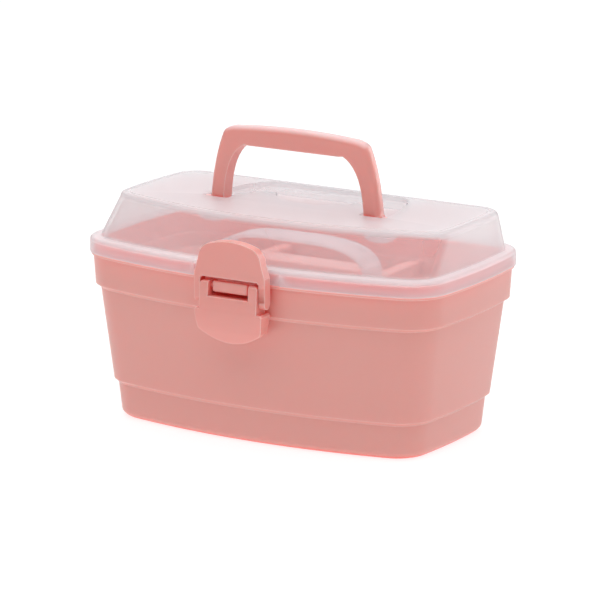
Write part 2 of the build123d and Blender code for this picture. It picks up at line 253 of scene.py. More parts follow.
def makeTub():
    s = tubSizes
    levels = []
    for i in range(s["foot steps"] + 1):
        turn = math.pi / 2 * (1 - i / s["foot steps"])
        by = s["foot round"] * (1 - math.cos(turn))
        levels.append(inset(s["foot"], by, s["foot"][0] * (1 - math.sin(turn))))
    lip = inset(s["band top"], -s["lip"], s["band top"][0] + 0.3)
    rim, wall = s["rim"], s["wall"]
    levels += [s["foot top"], s["body low"], s["body top"], s["band low"], s["band top"], lip,
               inset(lip, 0, s["lip top"]), inset(rim, 0, s["lip top"] + 0.1), rim]
    levels += [inset(rim, wall - 0.2, rim[0]), inset(s["band top"], wall, s["band top"][0])]
    levels += [inset(s[outline], wall + past, height) for outline, past, height in s["inside"]]
    tub = ringShell("tub_shell", levels, lowCap=True, highCap=True)
    recessRim(tub, s["lip top"] + 0.05)
    y, z = s["lever pivot"]
    half, radius = s["lug half"], s["lug radius"]
    lug = addBlock("lug", (-half, y - radius, z - radius), (half, y, z + radius - 0.3))
    roundEdges(lug, s["lug round"], segments=4)
    root = addBlock("lug root", (-half, y - 2, z - radius + 0.4), (half, *s["lug root"]))
    combine(lug, root, "UNION")
    roundEdges(lug, s["lug root edge"], segments=2)
    combine(tub, lug, "UNION")
    addHingeKnuckles(tub)
    roundEdges(tub, s["edge"], segments=3)
    return tidyMesh(tub)


def recessRim(tub, above):
    # the rim steps back behind the latch, its outer face and then its inner one
    s = tubSizes
    for vertex in tub.data.vertices:
        if vertex.co.z < above * mm or abs(vertex.co.x) > s["rim notch"] * mm or vertex.co.y > 0:
            continue
        bow = (plan["bow"] - math.sqrt(plan["bow"] ** 2 - (vertex.co.x / mm) ** 2)) * mm
        outer = vertex.co.y - bow < (s["rim"][2] + 1) * mm
        vertex.co.y = max(vertex.co.y, (s["notch outer"] if outer else s["notch inner"]) * mm)


def addHingeKnuckles(tub):
    s = tubSizes
    y, z = s["hinge"]
    inner = s["lid half"] + s["side gap"]
    outer = inner + s["tub knuckle"]
    for side in (-1, 1):
        for low, high in ((inner, outer), (-outer, -inner)):
            xLow = side * s["hinge x"] + low
            xHigh = side * s["hinge x"] + high
            knuckle = addRod("knuckle", xLow, xHigh, y, z, s["knuckle"])
            web = addBlock("web", (xLow, s["web back"], z - 4), (xHigh, y, s["lip top"]))
            combine(knuckle, web, "UNION")
            rib = addBlock("rib", (xLow, *s["rib low"]), (xHigh, y + s["rib out"], s["rib top"]))
            slopeRib(rib, s["rib foot"])
            combine(knuckle, rib, "UNION")
            combine(tub, knuckle, "UNION")
        span = outer + 1
        bore = addRod("bore", side * s["hinge x"] - span, side * s["hinge x"] + span, y, z, s["pin"])
        combine(tub, bore, "DIFFERENCE")


def slopeRib(rib, lowY):
    # pull the rib's lower outer edge in to the wall
    for vertex in rib.data.vertices:
        if vertex.co.z < 100 * mm and vertex.co.y > 80 * mm:
            vertex.co.y = lowY * mm


def makeHingePin(side):
    s = tubSizes
    half = s["lid half"] + s["side gap"] + s["tub knuckle"]
    name = "hinge_wire_right" if side > 0 else "hinge_wire_left"
    pin = addRod(name, side * s["hinge x"] - half, side * s["hinge x"] + half, *s["hinge"], s["pin"])
    roundEdges(pin, s["pin edge"])
    return tidyMesh(pin)


# lid

lidSizes = {
    "skirt": (111.0, 134.99, -75.3, 76.0, 27.0), "skirt top": 121.0, "shoulder": 2.4, "shoulder steps": 6,
    "dome low": (121.1, 128.4, -67.5, 68.6, 21.0, 445.0),
    "dome high": (143.4, 124.8, -50.2, 61.0, 17.0, 340.0),
    "dome rounds": [(0.5, 145.1), (1.3, 146.2), (2.4, 146.8), (4.0, 147.0), (5.0, 146.95),
                    (5.4, 146.5), (5.9, 146.5), (6.3, 146.95)],
    "under dome": [(8.0, 144.8), (4.6, 144.4), (3.1, 143.5)],
    "wall": 2.2, "edge": 0.5,
    "recess floor": 138.2, "recess wall": 1.8, "pocket floor": 131.0,
    "boss top": 146.0, "cut top": 149.0,
    # inner end, outer end, half width, rounding
    "pocket": (54.6, 72.4, 7.4, 6.4), "well": (56.6, 69.0, 5.6, 4.8),
    "pivot": 144.0, "stub hole": 2.05, "hole from": 60.0, "hole to": 74.0,
    "notch": (32.5, -73.4), "notch wall": 1.8, "notch top": 119.5,
    "leaf low": (75.0, 112.0), "leaf high": (81.0, 116.0), "bore play": 0.05,
}

recessPlan = {
    "front": -6.2, "back": 53.9, "leg in": 49.5, "leg out": 70.2, "island": 42.5, "cross": 24.0,
    "turn": (59.8, 42.0), "back half": 52.4, "scoop radius": 34.5, "scoop front": 4.8,
    "leg out bend": (66.4, 18.0), "leg in bend": (50.4, 5.0), "leg in turn": 44.0,
    "leg corner": 2.4, "cross corner": 6.5,
}


def prism(name, points, zLow, zHigh, corner=3.0):
    # upright prism on an outline, with its upright edges rounded
    clearSelection()
    bpy.ops.mesh.primitive_circle_add(vertices=len(points), radius=0.01, fill_type="NGON")
    piece = named(name)
    for vertex, (x, y) in zip(piece.data.vertices, points):
        vertex.co = Vector((x * mm, y * mm, zLow * mm))
    bpy.ops.object.mode_set(mode="EDIT")
    bpy.ops.mesh.select_all(action="SELECT")
    bpy.ops.mesh.extrude_region_move(TRANSFORM_OT_translate={"value": (0, 0, (zHigh - zLow) * mm)})
    bpy.ops.mesh.select_all(action="SELECT")
    bpy.ops.mesh.normals_make_consistent(inside=False)
    bpy.ops.mesh.select_mode(type="EDGE")
    bpy.ops.mesh.select_all(action="DESELECT")
    mesh = bmesh.from_edit_mesh(piece.data)
    for edge in mesh.edges:
        along = edge.verts[0].co - edge.verts[1].co
        edge.select = abs(along.z) > 0.9 * along.length
    bmesh.update_edit_mesh(piece.data)
    if corner:
        bpy.ops.mesh.bevel(offset=corner * mm, segments=6, affect="EDGES", clamp_overlap=True)
    bpy.ops.object.mode_set(mode="OBJECT")
    return piece


def recessShape(name, zLow, zHigh, grow):
    # two legs for the handle's feet, a wide cross behind them and a scoop for the fingers
    r = recessPlan
    front, back = r["front"] - grow, r["back"] + grow
    turnX, turnY = r["turn"]
    outX, outY = r["leg out bend"]
    inX, inY = r["leg in bend"]
    legs = []
    for side in (1, -1):
        points = [(r["leg in"] - grow, front), (r["leg out"] + grow, front), (outX + grow, outY),
                  (turnX + grow, turnY), (r["leg in turn"], turnY), (r["island"] - grow, r["cross"]),
                  (inX - grow, inY)]
        points = [(side * x, y) for x, y in points][::side]
        legs.append(prism(name, points, zLow, zHigh, r["leg corner"]))
    points = [(-r["island"], r["cross"] - grow), (r["island"], r["cross"] - grow),
              (turnX + grow, turnY), (r["back half"] + grow, back),
              (-r["back half"] - grow, back), (-turnX - grow, turnY)]
    cross = prism("cross", points, zLow, zHigh, r["cross corner"])
    radius = r["scoop radius"] + grow
    centre = r["scoop front"] + r["scoop radius"]
    turns = [math.radians(t) for t in range(-60, 61, 6)]
    arc = [(radius * math.sin(t), centre - radius * math.cos(t)) for t in turns]
    scoop = prism("scoop", arc + [(arc[-1][0], centre), (arc[0][0], centre)], zLow, zHigh, 0)
    shape = combine(legs[0], legs[1], "UNION")
    combine(shape, cross, "UNION")
    return combine(shape, scoop, "UNION")


def makeLid():
    s = lidSizes
    skirt = s["skirt"]
    wall, dome = s["wall"], s["dome high"]
    under = s["skirt top"] - wall
    levels = [inset(dome, by, z) for by, z in s["under dome"]]
    levels += [inset(dome, wall + 0.1, 141.8), inset(s["dome low"], wall, under + 0.2),
               inset(skirt, wall + 0.8, under), inset(skirt, wall, under - 0.9),
               inset(skirt, wall, skirt[0]), skirt]
    for i in range(s["shoulder steps"] + 1):
        turn = math.pi / 2 * i / s["shoulder steps"]
        rise = s["skirt top"] - s["shoulder"] * (1 - math.sin(turn))
        levels.append(inset(skirt, s["shoulder"] * (1 - math.cos(turn)), rise))
    levels += [s["dome low"], dome]
    levels += [inset(dome, by, z) for by, z in s["dome rounds"]]
    lid = ringShell("lid_shell", levels, lowCap=True, highCap=True)
    shell = s["recess wall"]
    combine(lid, recessShape("boss", s["recess floor"] - shell, s["boss top"], shell), "UNION")
    for side in (-1, 1):
        pocket = pocketShape("pocket", side, s["pocket"], s["pocket floor"] - shell, s["boss top"])
        combine(lid, pocket, "UNION")
    combine(lid, recessShape("recess", s["recess floor"], s["cut top"], 0.0), "DIFFERENCE")
    for side in (-1, 1):
        well = pocketShape("well", side, s["well"], s["pocket floor"], s["recess floor"] + 3)
        combine(lid, well, "DIFFERENCE")
        low, high = sorted([side * s["hole from"], side * s["hole to"]])
        combine(lid, addRod("hole", low, high, 0, s["pivot"], s["stub hole"]), "DIFFERENCE")
    half, y = s["notch"]
    thick = addBlock("thick", (-half - 1, -74.0, skirt[0]), (half + 1, y + s["notch wall"], s["notch top"]))
    combine(lid, thick, "UNION")
    combine(lid, addBlock("notch", (-half, -90.0, 100.0), (half, y, 130.0)), "DIFFERENCE")
    h = tubSizes
    for side in (-1, 1):
        low = side * h["hinge x"] - h["lid half"]
        high = side * h["hinge x"] + h["lid half"]
        knuckle = addRod("lid knuckle", low, high, *h["hinge"], h["knuckle"])
        combine(knuckle, addBlock("leaf", (low, *s["leaf low"]), (high, *s["leaf high"])), "UNION")
        combine(lid, knuckle, "UNION")
        bore = addRod("bore", low - 1, high + 1, *h["hinge"], h["pin"] + s["bore play"])
        combine(lid, bore, "DIFFERENCE")
    roundEdges(lid, s["edge"], segments=2, angle=35)
    return tidyMesh(lid)


def pocketShape(name, side, sizes, zLow, zHigh):
    # a block with its lower edges rounded
    xLow, xHigh, yHalf, corner = sizes
    low, high = sorted([side * xLow, side * xHigh])
    block = addBlock(name, (low, -yHalf, zLow), (high, yHalf, zHigh))
    bpy.ops.object.mode_set(mode="EDIT")
    bpy.ops.mesh.select_mode(type="EDGE")
    bpy.ops.mesh.select_all(action="DESELECT")
    mesh = bmesh.from_edit_mesh(block.data)
    for edge in mesh.edges:
        edge.select = all(v.co.z < (zLow + 0.1) * mm for v in edge.verts)
    bmesh.update_edit_mesh(block.data)
    bpy.ops.mesh.bevel(offset=corner * mm, segments=6, affect="EDGES")
    bpy.ops.object.mode_set(mode="OBJECT")
    return block


# carry handle

handleSizes = {
    "depth": 10.4, "pivot": 144.0,
    "outer leg": [(64.6, 144.0), (62.5, 172.5), (54.6, 190.6)], "shoulder": [(52.6, 193.6), (46.0, 194.9)],
    "inner leg": [(53.2, 144.0), (52.5, 176.0), (37.5, 183.6)], "under": (34.0, 183.2),
    "top": 197.0, "top half": 45.5, "top drop": 2.1, "top steps": (38, 30, 22, 14, 5),
    "outer edge": 4.4, "inner edge": 4.4, "knee edge": 2.4,
    "stub": 2.0, "stub end": 71.6, "boss": 2.3, "boss end": 67.4,
}


def bend(start, control, end, steps=10):
    # a smooth bend from start to end, pulled towards control
    points = []
    for i in range(steps + 1):
        t = i / steps
        points.append(tuple((1 - t) ** 2 * a + 2 * t * (1 - t) * b + t ** 2 * c
                            for a, b, c in zip(start, control, end)))
    return points


def plate(name, points, yLow, yHigh):
    # an outline in the XZ plane, extruded along Y
    clearSelection()
    bpy.ops.mesh.primitive_circle_add(vertices=len(points), radius=0.01, fill_type="NGON")
    piece = named(name)
    for vertex, (x, z) in zip(piece.data.vertices, points):
        vertex.co = Vector((x * mm, yLow * mm, z * mm))
    bpy.ops.object.mode_set(mode="EDIT")
    bpy.ops.mesh.select_all(action="SELECT")
    bpy.ops.mesh.extrude_region_move(TRANSFORM_OT_translate={"value": (0, (yHigh - yLow) * mm, 0)})
    bpy.ops.mesh.select_all(action="SELECT")
    bpy.ops.mesh.normals_make_consistent(inside=False)
    bpy.ops.object.mode_set(mode="OBJECT")
    return piece


def selectRim(piece, inner):
    # the long edges of the front and back faces, on the outer or the inner outline
    bpy.ops.object.mode_set(mode="EDIT")
    bpy.ops.mesh.select_mode(type="EDGE")
    bpy.ops.mesh.select_all(action="DESELECT")
    mesh = bmesh.from_edit_mesh(piece.data)
    for edge in mesh.edges:
        if len(edge.link_faces) != 2 or abs(edge.verts[0].co.y - edge.verts[1].co.y) > 0.01 * mm:
            continue
        side = [face for face in edge.link_faces if abs(face.normal.y) < 0.5]
        flat = [face for face in edge.link_faces if abs(face.normal.y) > 0.5]
        if not side or not flat:
            continue
        middle = (edge.verts[0].co + edge.verts[1].co) / 2
        towards = side[0].normal.dot(Vector((0, 0, 150 * mm)) - middle)
        edge.select = (towards > 0) == inner
    bmesh.update_edit_mesh(piece.data)


def makeCarryHandle():
    s = handleSizes
    low = s["pivot"]
    right = bend(*s["outer leg"]) + bend(s["outer leg"][2], *s["shoulder"], steps=6)[1:]
    crown = [(x, s["top"] - s["top drop"] * (x / s["top half"]) ** 2) for x in s["top steps"]]
    outer = right + crown + [(-x, z) for x, z in crown[::-1]] + [(-x, z) for x, z in right[::-1]]
    inner = bend(*s["inner leg"]) + [s["under"]]
    inner += [(-x, z) for x, z in inner[::-1]]
    handle = plate("carry_handle_grip", outer + inner[::-1], -s["depth"] / 2, s["depth"] / 2)
    for isInner, edge in ((False, s["outer edge"]), (True, s["inner edge"])):
        selectRim(handle, isInner)
        bpy.ops.mesh.bevel(offset=edge * mm, segments=6, affect="EDGES", clamp_overlap=True)
        bpy.ops.object.mode_set(mode="OBJECT")
    footOut, footIn = s["outer leg"][0][0], s["inner leg"][0][0]
    for side in (-1, 1):
        ends = sorted([side * footIn, side * footOut])
        knee = addRod("knee", ends[0], ends[1], 0, low, s["depth"] / 2, 64)
        roundEdges(knee, s["knee edge"], segments=5, angle=40)
        combine(handle, knee, "UNION")
        ends = sorted([side * (footOut - 1), side * s["boss end"]])
        combine(handle, addRod("boss", ends[0], ends[1], 0, low, s["boss"]), "UNION")
        ends = sorted([side * (footOut - 1), side * s["stub end"]])
        combine(handle, addRod("stub", ends[0], ends[1], 0, low, s["stub"]), "UNION")
    return tidyMesh(handle, 40)


# front latch

latchSizes = {
    "lever pivot": (-79.0, 107.8), "hasp pivot": (-78.5, 99.5), "stub": 1.6, "play": 0.05,
    "finger in": 15.2, "finger out": 21.5, "shoulder": 25.3, "shoulder z": 92.8, "slot z": 101.4,
    "lever edge": 1.2, "hasp half": 26.5, "leg in": 22.0, "front": -83.0, "back": -80.4,
    "window": 113.7, "hook": -73.8, "hasp edge": 0.9,
    "cap back": -76.3, "cap wall": 2.3,
    "lever foot": (22.6, 71.0, 78.6), "lever flank": [(23.6, 79.8), (24.0, 81.4)], "lever top": 111.2,
    "lever face": [(-82.6, 111.2), (-84.0, 110.5), (-84.6, 109.0), (-84.9, 104.0), (-85.4, 96.0),
                   (-85.4, 92.0), (-84.8, 86.0), (-83.4, 79.0), (-81.0, 71.0), (-80.4, 70.2)],
    "lever back": [(-77.9, 70.2), (-76.0, 82.0), (-74.4, 92.0), (-75.6, 104.0)],
    "finger round": 3.4, "stub inner end": 9.0,
    "hasp crown half": 17.0, "hasp crown": 138.0, "hasp crown drop": 2.8, "hasp crown steps": 7,
    "hasp shoulder": [(19.2, 134.0), (21.0, 132.2), (22.4, 130.0), (23.3, 127.4), (23.8, 124.5),
                      (26.0, 117.6)],
    "hasp leg top": 116.0, "hollow corner": 23.4, "toe radius": 3.15,
}


def sidePlate(name, points, xLow, xHigh):
    # an outline in the YZ plane, extruded along X
    clearSelection()
    bpy.ops.mesh.primitive_circle_add(vertices=len(points), radius=0.01, fill_type="NGON")
    piece = named(name)
    for vertex, (y, z) in zip(piece.data.vertices, points):
        vertex.co = Vector((xLow * mm, y * mm, z * mm))
    bpy.ops.object.mode_set(mode="EDIT")
    bpy.ops.mesh.select_all(action="SELECT")
    bpy.ops.mesh.extrude_region_move(TRANSFORM_OT_translate={"value": ((xHigh - xLow) * mm, 0, 0)})
    bpy.ops.mesh.select_all(action="SELECT")
    bpy.ops.mesh.normals_make_consistent(inside=False)
    bpy.ops.object.mode_set(mode="OBJECT")
    return piece


def bowPoints(halfWidth, zMiddle, zEnd, steps=8):
    # right half of a shallow arc, from the middle outwards
    rise = zEnd - zMiddle
    return [(halfWidth * i / steps, zMiddle + rise * (i / steps) ** 2) for i in range(steps + 1)]


def makeLever():
    s = latchSizes
    y, z = s["lever pivot"]
    out, shoulder, step = s["finger out"], s["shoulder"], s["shoulder z"]
    right = bowPoints(*s["lever foot"]) + s["lever flank"]
    right += [(shoulder, step - 1.2), (shoulder - 1.0, step), (out, step),
              (out, 109.4), (out - 1.0, 110.8), (out - 2.4, s["lever top"])]
    outline = right + [(-x, zz) for x, zz in right[:0:-1]]
    lever = plate("latch_lever_shield", outline, -90.0, -70.0)
    radius = s["finger round"]
    turns = [math.radians(t) for t in range(0, 91, 15)]
    rounded = [(y + radius * math.cos(t), z + radius * math.sin(t)) for t in turns]
    profile = sidePlate("profile", rounded + s["lever face"] + s["lever back"], -30.0, 30.0)
    combine(lever, profile, "INTERSECT")
    half = s["finger in"]
    combine(lever, addBlock("slot", (-half, -90.0, s["slot z"]), (half, -70.0, 115.0)), "DIFFERENCE")
    roundEdges(lever, s["lever edge"], segments=4, angle=30)
    for side in (-1, 1):
        ends = sorted([side * (half + 2), side * s["stub inner end"]])
        combine(lever, addRod("stub", ends[0], ends[1], y, z, s["stub"], 32), "UNION")
        ends = sorted([side * (half + 0.6), side * (s["finger out"] + 1)])
        hole = addRod("hole", ends[0], ends[1], *s["hasp pivot"], s["stub"] + s["play"], 32)
        combine(lever, hole, "DIFFERENCE")
    return tidyMesh(lever, 40)


def makeHasp():
    s = latchSizes
    y, z = s["hasp pivot"]
    steps = s["hasp crown steps"]
    top = [(s["hasp crown half"] * i / steps, s["hasp crown"] - s["hasp crown drop"] * (i / steps) ** 2)
           for i in range(steps + 1)]
    shoulder = s["hasp shoulder"] + [(s["hasp half"], s["hasp leg top"]), (s["hasp half"], z)]
    inside = [(s["leg in"], z), (s["leg in"], s["window"] - 1.2), (s["leg in"] - 1.2, s["window"])]
    right = top + shoulder + inside
    outline = right + [(-x, zz) for x, zz in right[:0:-1]]
    hasp = plate("latch_hasp_plate", outline, s["front"], s["cap back"])
    rim, floor = s["cap wall"], s["window"] + s["cap wall"]
    hollow = [(x * (1 - rim / 26.0), zz - rim) for x, zz in top + shoulder[:-3]]
    hollow.append((s["hollow corner"], floor))
    hollow += [(-x, zz) for x, zz in hollow[:0:-1]]
    combine(hasp, plate("hollow", hollow, s["back"], s["cap back"] + 5), "DIFFERENCE")
    for side in (-1, 1):
        low, high = sorted([side * s["leg in"], side * s["hasp half"]])
        leg = addBlock("leg", (low, s["back"] - 1.4, z - 0.5), (high, y + 1.8, s["hasp leg top"] + 0.5))
        toe = addRod("toe", low, high, y - 1.35, z, s["toe radius"], 48)
        combine(toe, addBlock("toe front", (low, s["front"], z - 0.2), (high, y + 1.8, z + 2)), "UNION")
        combine(leg, toe, "UNION")
        combine(hasp, leg, "UNION")
    hook = addBlock("hook", (-18.0, s["back"] - 1, 121.6), (18.0, s["hook"], 125.0))
    combine(hasp, hook, "UNION")
    roundEdges(hasp, s["hasp edge"], segments=4, angle=32)
    for side in (-1, 1):
        ends = sorted([side * (s["finger in"] + 1), side * (s["leg in"] + 1.5)])
        combine(hasp, addRod("stub", ends[0], ends[1], y, z, s["stub"], 32), "UNION")
    return tidyMesh(hasp, 40)


# tray and its strap

traySizes = {
    "low": (62.0, 121.4, -63.4, 64.2, 22.0), "body": (89.7, 125.2, -66.8, 67.6, 24.0),
    "step": (90.6, 125.4, -67.0, 67.8, 24.0), "shelf": (90.9, 128.8, -68.8, 70.0, 24.5),
    "rim": (103.0, 129.2, -68.8, 70.4, 24.5), "wall": 1.8,
    "ridge half": 10.0, "ridge top": 111.0, "ridge end": 52.0, "low ridge": 102.0,
    "divider x": 49.0, "divider half": 4.5,
    # outline, how far past the wall, height
    "inside": [("shelf", 0.0, 93.2), ("body", 0.0, 92.4), ("low", 0.0, 66.4), ("low", 0.9, 64.6)],
    "ridge reach": 126.4, "divider reach": 67.2, "hollow ridge": 116.0, "hollow divider": 61.0,
    "lean": 3.4, "lean from": 62.0, "lean over": 28.0, "end foot": 120.4, "back foot": 63.2,
    "strap out": 58.2, "strap top": 126.8, "strap": 2.4, "strap half": 11.0, "strap spring": 104.0,
}


def makeTray():
    s = traySizes
    w = s["wall"]
    bottom = s["low"][0]
    levels = [inset(s["low"], 2.4, bottom), inset(s["low"], 0.7, bottom + 0.7), inset(s["low"], 0, 64.4),
              s["body"], s["step"], s["shelf"], s["rim"], inset(s["rim"], w, s["rim"][0])]
    levels += [inset(s[outline], w + past, height) for outline, past, height in s["inside"]]
    levels.append(inset(s["low"], w + 2.8, bottom + w))
    tray = ringShell("lift_out_tray", levels, lowCap=True, highCap=True)
    half, raised, low = s["ridge half"], s["ridge end"], bottom + 0.6
    reach = s["ridge reach"]
    ridge = addBlock("ridge", (-reach, -half, low), (reach, half, s["low ridge"]))
    combine(ridge, addBlock("raised", (-raised, -half, 90.0), (raised, half, s["ridge top"])), "UNION")
    for side in (-1, 1):
        x, d = side * s["divider x"], s["divider half"]
        divider = addBlock("divider", (x - d, 0, low), (x + d, s["divider reach"], s["low ridge"]))
        combine(ridge, divider, "UNION")
    roundEdges(ridge, 2.4, segments=5, angle=40)
    trimToTray(ridge)
    combine(tray, ridge, "UNION")
    thin = half - w
    end = s["hollow ridge"]
    hollows = [((-end, -thin, 50.0), (end, thin, s["low ridge"] - w)),
               ((-raised + w, -thin, 50.0), (raised - w, thin, s["ridge top"] - w))]
    for side in (-1, 1):
        x, d = side * s["divider x"], s["divider half"] - w
        hollows.append(((x - d, 0, 50.0), (x + d, s["hollow divider"], s["low ridge"] - w)))
    for low, high in hollows:
        combine(tray, addBlock("hollow", low, high), "DIFFERENCE")
    roundEdges(tray, 0.45, segments=2, angle=38)
    return tidyMesh(tray)


def trimToTray(ridge):
    # the ridge's ends and the dividers' backs follow the tray's slanting walls
    s = traySizes
    for vertex in ridge.data.vertices:
        z = vertex.co.z / mm
        lean = (z - s["lean from"]) / s["lean over"] * s["lean"] if z < 90 else s["lean"]
        if abs(vertex.co.x) > 0.12:
            vertex.co.x = math.copysign((s["end foot"] + lean) * mm, vertex.co.x)
        if vertex.co.y > 0.06:
            vertex.co.y = (s["back foot"] + lean) * mm


def makeStrap():
    s = traySizes
    top, out, thick, low = s["strap top"], s["strap out"], s["strap"], s["low ridge"]
    outer = strapCurve(out, top, 0.0)
    inner = strapCurve(out, top, thick)
    outline = [(out, low)] + outer + [(-x, z) for x, z in outer[::-1]] + [(-out, low), (thick - out, low)]
    outline += [(-x, z) for x, z in inner] + inner[::-1] + [(out - thick, low)]
    strap = plate("tray_strap", outline, -s["strap half"], s["strap half"])
    roundEdges(strap, 0.7, segments=3, angle=40)
    return tidyMesh(strap, 40)


def strapCurve(out, top, inward, steps=18):
    # right half of the strap's bend, from its leg up to the middle, as a squared-off arch
    points = []
    for i in range(steps):
        turn = math.pi / 2 * i / steps
        x = (out - inward) * math.cos(turn) ** 0.62
        z = traySizes["strap spring"] + (top - traySizes["strap spring"] - inward) * math.sin(turn) ** 0.72
        points.append((x, z))
    return points


# materials

pinkFinish = {
    # painted highlight: "edge" is the paler pink painted along the edges
    "light": (0.93, 0.385, 0.340, 1), "deep": (0.915, 0.37, 0.325, 1), "edge": (0.97, 0.63, 0.60, 1),
    # painted sheen: "bleached" is the paler pink painted on faces that look upwards
    "top sheen": (0.93, 0.64, 0.64, 1),
    # painted light: "gap" is the saturated red glow painted into narrow gaps
    "gap": (1.0, 0.11, 0.08, 1), "roughness": 0.36, "grain": 2600.0,
    "cloud": 9.0, "bump": 0.10, "subsurface": 0.4, "subsurface radius": (1.0, 0.25, 0.20),
    "subsurface scale": 0.006, "specular": 0.65, "edge highlight width": 0.9, "gap glow depth": 6.0, "grip top sheen": 1.0,
}
milkFinish = {
    "clear": (0.865, 0.88, 0.90, 1), "cloudy": (0.84, 0.857, 0.88, 1), "haze": 0.24, "strap haze": 0.36,
    "edge milk": 0.55,
    "bands": [(110.0, 110.5, 111.9, 112.3), (117.6, 119.0, 120.9, 122.0), (142.6, 145.0, 146.5, 146.9)],
    "lets in": (0.99, 0.98, 0.985, 1),
    "roughness": 0.30, "grain": 1900.0, "cloud": 14.0, "bump": 0.06,
    "least slant": 0.12, "scattered on": 0.42,
}
wireFinish = {"bright": (0.62, 0.62, 0.63, 1), "dull": (0.42, 0.42, 0.44, 1), "roughness": 0.32}


def newMaterial(name):
    material = bpy.data.materials.new(name)
    material.use_nodes = True
    nodes = material.node_tree.nodes
    links = material.node_tree.links
    shader = nodes["Principled BSDF"]
    place = nodes.new("ShaderNodeTexCoord")
    return material, nodes, links, shader, place


def noiseOf(nodes, links, place, scale, detail=2.0, rough=0.5, stretch=(1, 1, 1)):
    turn = nodes.new("ShaderNodeMapping")
    turn.inputs["Scale"].default_value = stretch
    links.new(place.outputs["Object"], turn.inputs["Vector"])
    noise = nodes.new("ShaderNodeTexNoise")
    noise.inputs["Scale"].default_value = scale
    noise.inputs["Detail"].default_value = detail
    noise.inputs["Roughness"].default_value = rough
    links.new(turn.outputs["Vector"], noise.inputs["Vector"])
    return noise


def rampOf(nodes, links, source, low, high, colours):
    ramp = nodes.new("ShaderNodeValToRGB")
    ramp.color_ramp.elements[0].position = low
    ramp.color_ramp.elements[1].position = high
    ramp.color_ramp.elements[0].color = colours[0]
    ramp.color_ramp.elements[1].color = colours[1]
    links.new(source, ramp.inputs["Fac"])
    return ramp


def grey(value):
    return (value, value, value, 1)


def bumpOf(nodes, links, shader, heights, strength, distance=0.0002):
    bump = nodes.new("ShaderNodeBump")
    bump.inputs["Strength"].default_value = strength
    bump.inputs["Distance"].default_value = distance
    links.new(heights, bump.inputs["Height"])
    links.new(bump.outputs["Normal"], shader.inputs["Normal"])


def paintedEdgeHighlight(nodes, links, width):
    # painted highlight: picks out the edges and paints them paler, standing in for the light rims that
    # edges catch
    softened = nodes.new("ShaderNodeBevel")
    softened.samples = 4
    softened.inputs["Radius"].default_value = width * mm
    surface = nodes.new("ShaderNodeNewGeometry")
    compare = nodes.new("ShaderNodeVectorMath")
    compare.operation = "DOT_PRODUCT"
    links.new(softened.outputs["Normal"], compare.inputs[0])
    links.new(surface.outputs["Normal"], compare.inputs[1])
    return rampOf(nodes, links, compare.outputs["Value"], 0.94, 0.997, (grey(1), grey(0)))


def paintedGapGlow(nodes, links, tone, colour):
    # painted light: narrow gaps are painted a saturated, brighter red, standing in for the light that
    # scatters in them and comes out redder
    gap = nodes.new("ShaderNodeAmbientOcclusion")
    gap.samples = 6
    gap.inputs["Distance"].default_value = pinkFinish["gap glow depth"] * mm
    paintedGapShare = rampOf(nodes, links, gap.outputs["AO"], 0.15, 0.62, (grey(1), grey(0)))
    return blendTowards(nodes, links, paintedGapShare.outputs["Color"], tone, colour)


def blendTowards(nodes, links, share, tone, colour):
    # a share of one fixed colour laid over a tone
    blend = nodes.new("ShaderNodeMix")
    blend.data_type = "RGBA"
    links.new(share, blend.inputs["Factor"])
    links.new(tone, blend.inputs["A"])
    blend.inputs["B"].default_value = colour
    return blend.outputs["Result"]


def mouldedPink(name, topSheen=0.0):
    f = pinkFinish
    material, nodes, links, shader, place = newMaterial(name)
    cloud = noiseOf(nodes, links, place, f["cloud"], 4.0, 0.55, (1, 1, 0.6))
    tone = rampOf(nodes, links, cloud.outputs["Fac"], 0.35, 0.68, (f["deep"], f["light"]))
    # painted light: gaps are painted a brighter, saturated red
    gapGlowTone = paintedGapGlow(nodes, links, tone.outputs["Color"], f["gap"])
    edges = paintedEdgeHighlight(nodes, links, f["edge highlight width"])
    # painted highlight: the edges are painted the paler "edge" pink
    paintedLightAndWear = blendTowards(nodes, links, edges.outputs["Color"], gapGlowTone, f["edge"])
    if topSheen:
        # painted sheen: faces that look upwards are painted paler, standing in for the light from above
        shape = nodes.new("ShaderNodeNewGeometry")
        facing = nodes.new("ShaderNodeSeparateXYZ")
        links.new(shape.outputs["Normal"], facing.inputs["Vector"])
        upward = rampOf(nodes, links, facing.outputs["Z"], 0.35, 0.95, (grey(0), grey(topSheen)))
        paintedLightAndWear = blendTowards(nodes, links, upward.outputs["Color"], paintedLightAndWear, f["top sheen"])
    links.new(paintedLightAndWear, shader.inputs["Base Color"])
    grain = noiseOf(nodes, links, place, f["grain"], 2.0)
    sheen = rampOf(nodes, links, cloud.outputs["Fac"], 0.3, 0.7,
                   (grey(f["roughness"] - 0.03), grey(f["roughness"] + 0.04)))
    links.new(sheen.outputs["Color"], shader.inputs["Roughness"])
    bumpOf(nodes, links, shader, grain.outputs["Fac"], f["bump"])
    shader.inputs["Subsurface Weight"].default_value = f["subsurface"]
    shader.inputs["Subsurface Radius"].default_value = f["subsurface radius"]
    shader.inputs["Subsurface Scale"].default_value = f["subsurface scale"]
    shader.inputs["Specular IOR Level"].default_value = f["specular"]
    return material


def mathOf(nodes, links, operation, first, second):
    step = nodes.new("ShaderNodeMath")
    step.operation = operation
    for socket, value in zip(step.inputs, (first, second)):
        if isinstance(value, (int, float)):
            socket.default_value = value
        else:
            links.new(value, socket)
    return step.outputs["Value"]


